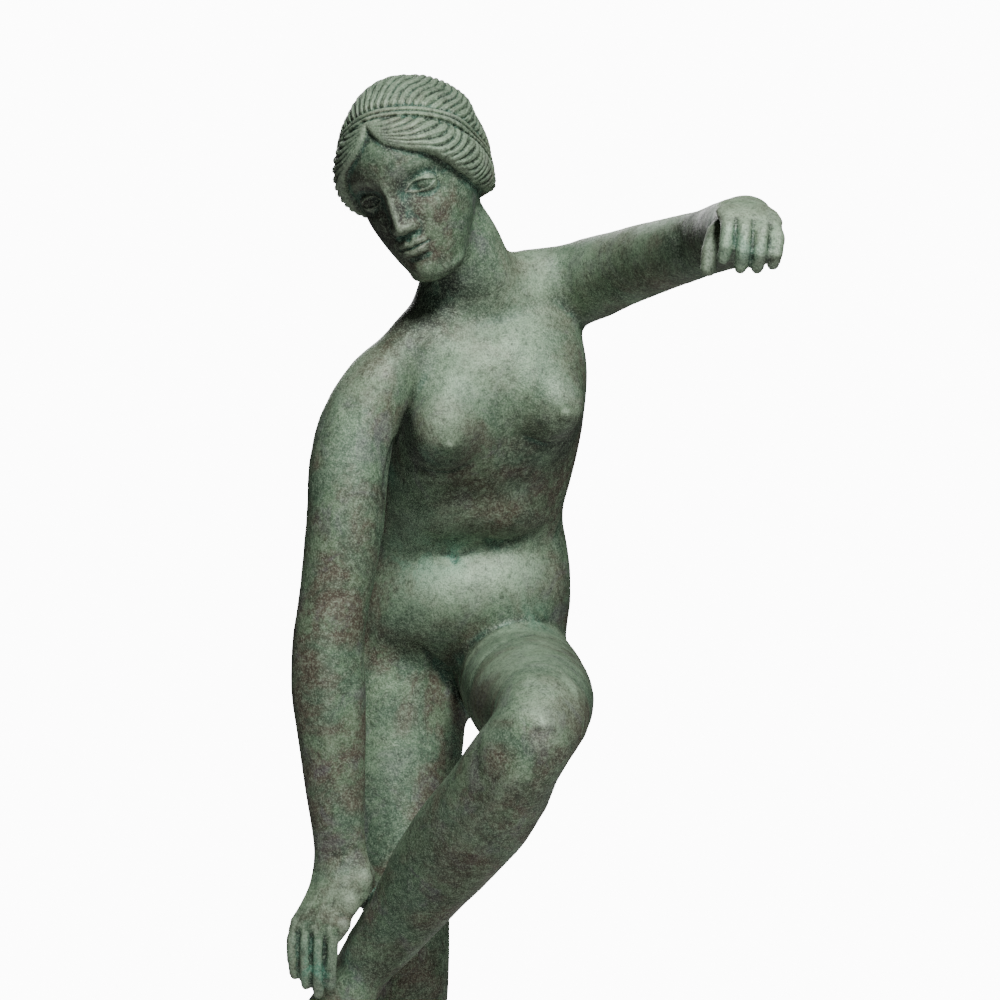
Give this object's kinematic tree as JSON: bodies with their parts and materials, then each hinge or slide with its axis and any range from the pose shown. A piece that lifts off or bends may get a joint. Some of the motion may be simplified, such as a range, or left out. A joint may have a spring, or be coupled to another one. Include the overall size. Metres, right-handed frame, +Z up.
{
  "type": "statue",
  "caption": "Bronze statue of a standing Venus leaning to touch her raised foot, one arm held out, on a low square plinth.",
  "frame": {"origin": "centre of the plinth's underside", "axes": "+Z up; the figure faces -Y and her left side, with the raised foot's knee and the held-out arm, is toward +X"},
  "size_m": [0.5447, 0.7919, 1.482],
  "materials": {
    "figure_bronze": "matte green-brown bronze patina",
    "plinth_bronze": "matte dark bronze patina"
  },
  "bodies": {
    "root": {"venus_figure": "figure_bronze", "plinth": "plinth_bronze"}
  },
  "joints": []
}
